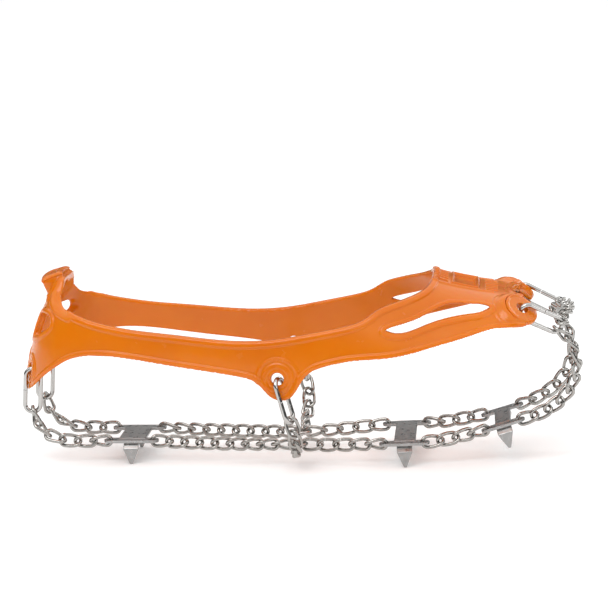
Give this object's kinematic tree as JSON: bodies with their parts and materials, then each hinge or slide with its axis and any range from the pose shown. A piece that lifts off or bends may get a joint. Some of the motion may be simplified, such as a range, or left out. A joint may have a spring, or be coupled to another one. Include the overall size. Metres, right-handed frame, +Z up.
{
  "type": "shoe ice cleats",
  "caption": "Slip-on ice cleats: a stretch harness round a shoe, with oblong rings, twisted-link chain and folded-spike plates under the sole.",
  "frame": {"origin": "underside of the shoe's sole, on the centre line, half-way between its heel and toe", "axes": "+X towards the toe, +Y towards the wearer's left, +Z up"},
  "size_m": [0.2062, 0.0802, 0.0714],
  "materials": {
    "elastomer": "glossy translucent orange elastomer",
    "ring_steel": "bright polished steel wire",
    "chain_steel": "bright zinc-plated steel wire",
    "plate_steel": "satin stamped stainless steel"
  },
  "bodies": {
    "harness": {"harness": "elastomer"},
    "heel_ring_left": {"heel_ring_left": "ring_steel"},
    "mid_ring_left": {"mid_ring_left": "ring_steel"},
    "front_ring_left": {"front_ring_left": "ring_steel"},
    "heel_ring_right": {"heel_ring_right": "ring_steel"},
    "mid_ring_right": {"mid_ring_right": "ring_steel"},
    "front_ring_right": {"front_ring_right": "ring_steel"},
    "heel_spike_plate": {"heel_spike_plate": "plate_steel"},
    "ball_spike_plate": {"ball_spike_plate": "plate_steel"},
    "front_spike_plate": {"front_spike_plate": "plate_steel"},
    "junction_ring_left": {"junction_ring_left": "ring_steel"},
    "junction_ring_right": {"junction_ring_right": "ring_steel"},
    "toe_chain": {"toe_chain": "chain_steel"},
    "heel_chain_left": {"heel_chain_left": "chain_steel"},
    "heel_chain_right": {"heel_chain_right": "chain_steel"},
    "arch_chain_left": {"arch_chain_left": "chain_steel"},
    "arch_chain_right": {"arch_chain_right": "chain_steel"},
    "mid_chain_left": {"mid_chain_left": "chain_steel"},
    "mid_chain_right": {"mid_chain_right": "chain_steel"},
    "ball_chain_left": {"ball_chain_left": "chain_steel"},
    "ball_chain_right": {"ball_chain_right": "chain_steel"},
    "forefoot_chain_left": {"forefoot_chain_left": "chain_steel"},
    "forefoot_chain_right": {"forefoot_chain_right": "chain_steel"},
    "front_chain_left": {"front_chain_left": "chain_steel"},
    "front_chain_right": {"front_chain_right": "chain_steel"}
  },
  "joints": [
    {"name": "heel_ring_left_swivel", "type": "hinge", "parent": "harness", "child": "heel_ring_left", "pos_m": [-0.09999, 0.01161, 0.02698], "axis": [-0.0613, 0.0176, -0.998], "range_deg": [-4, 12]},
    {"name": "heel_ring_right_swivel", "type": "hinge", "parent": "harness", "child": "heel_ring_right", "pos_m": [-0.09999, -0.01161, 0.02698], "axis": [0.0613, 0.0176, 0.998], "range_deg": [-4, 12]},
    {"name": "mid_ring_left_swivel", "type": "hinge", "parent": "harness", "child": "mid_ring_left", "pos_m": [-0.00712, 0.03551, 0.02762], "axis": [0.2754, 0.0813, -0.9579], "range_deg": [-8, 10]},
    {"name": "mid_ring_right_swivel", "type": "hinge", "parent": "harness", "child": "mid_ring_right", "pos_m": [-0.00712, -0.03551, 0.02762], "axis": [-0.2754, 0.0813, 0.9579], "range_deg": [-8, 10]},
    {"name": "front_ring_left_swivel", "type": "hinge", "parent": "harness", "child": "front_ring_left", "pos_m": [0.07941, 0.02233, 0.04967], "axis": [0.8897, -0.1629, -0.4266], "range_deg": [-8, 1]},
    {"name": "front_ring_right_swivel", "type": "hinge", "parent": "harness", "child": "front_ring_right", "pos_m": [0.07941, -0.02233, 0.04967], "axis": [-0.8897, -0.1629, 0.4266], "range_deg": [-8, 1]},
    {"name": "junction_ring_left_tilt", "type": "hinge", "parent": "harness", "child": "junction_ring_left", "pos_m": [-0.0026, 0.01, -0.0024], "axis": [1, 0, 0], "range_deg": [-3, 3]},
    {"name": "junction_ring_right_tilt", "type": "hinge", "parent": "harness", "child": "junction_ring_right", "pos_m": [-0.0026, -0.01, -0.0024], "axis": [-1, 0, 0], "range_deg": [-3, 3]},
    {"name": "heel_chain_left_sway", "type": "hinge", "parent": "harness", "child": "heel_chain_left", "pos_m": [-0.1009, 0.01187, 0.0126], "axis": [0.9076, -0.0429, -0.4176], "range_deg": [-12, 10]},
    {"name": "heel_chain_right_sway", "type": "hinge", "parent": "harness", "child": "heel_chain_right", "pos_m": [-0.1009, -0.01187, 0.0126], "axis": [-0.9076, -0.0429, 0.4176], "range_deg": [-12, 10]},
    {"name": "arch_chain_left_sway", "type": "hinge", "parent": "harness", "child": "arch_chain_left", "pos_m": [-0.057, 0.0105, -0.0007], "axis": [0.9994, -0.0095, -0.0321], "range_deg": [-12, 12]},
    {"name": "arch_chain_right_sway", "type": "hinge", "parent": "harness", "child": "arch_chain_right", "pos_m": [-0.057, -0.0105, -0.0007], "axis": [-0.9994, -0.0095, 0.0321], "range_deg": [-12, 12]},
    {"name": "mid_chain_left_sway", "type": "hinge", "parent": "harness", "child": "mid_chain_left", "pos_m": [-0.0026, 0.01158, -0.0024], "axis": [-0.0186, 0.8397, 0.5428], "range_deg": [-12, 8]},
    {"name": "mid_chain_right_sway", "type": "hinge", "parent": "harness", "child": "mid_chain_right", "pos_m": [-0.0026, -0.01158, -0.0024], "axis": [0.0186, 0.8397, -0.5428], "range_deg": [-12, 8]},
    {"name": "ball_chain_left_sway", "type": "hinge", "parent": "harness", "child": "ball_chain_left", "pos_m": [-0.00102, 0.01, -0.0024], "axis": [0.9813, 0.1868, 0.0459], "range_deg": [-12, 12]},
    {"name": "ball_chain_right_sway", "type": "hinge", "parent": "harness", "child": "ball_chain_right", "pos_m": [-0.00102, -0.01, -0.0024], "axis": [-0.9813, 0.1868, -0.0459], "range_deg": [-12, 12]},
    {"name": "forefoot_chain_left_sway", "type": "hinge", "parent": "harness", "child": "forefoot_chain_left", "pos_m": [0.04349, 0.016, -0.00047], "axis": [0.9757, -0.1409, 0.1677], "range_deg": [-12, 12]},
    {"name": "forefoot_chain_right_sway", "type": "hinge", "parent": "harness", "child": "forefoot_chain_right", "pos_m": [0.04349, -0.016, -0.00047], "axis": [-0.9757, -0.1409, -0.1677], "range_deg": [-12, 12]},
    {"name": "front_chain_left_sway", "type": "hinge", "parent": "harness", "child": "front_chain_left", "pos_m": [0.07826, 0.0125, 0.0069], "axis": [0.3335, 0.1925, 0.9229], "range_deg": [-4, 4]},
    {"name": "front_chain_right_sway", "type": "hinge", "parent": "harness", "child": "front_chain_right", "pos_m": [0.07826, -0.0125, 0.0069], "axis": [-0.3335, 0.1925, -0.9229], "range_deg": [-4, 4]},
    {"name": "toe_chain_sway", "type": "hinge", "parent": "harness", "child": "toe_chain", "pos_m": [0.09435, 0, 0.04437], "axis": [0, 1, 0], "range_deg": [-1, 1]},
    {"name": "heel_spike_plate_rock", "type": "hinge", "parent": "harness", "child": "heel_spike_plate", "pos_m": [-0.0645, 0, -0.0007], "axis": [0, 1, 0], "range_deg": [-3, 3]},
    {"name": "ball_spike_plate_rock", "type": "hinge", "parent": "harness", "child": "ball_spike_plate", "pos_m": [0.037, 0, -0.0007], "axis": [0, 1, 0], "range_deg": [-3, 3]},
    {"name": "front_spike_plate_rock", "type": "hinge", "parent": "harness", "child": "front_spike_plate", "pos_m": [0.073, 0, 0.0053], "axis": [0, 1, 0], "range_deg": [-3, 3]}
  ]
}
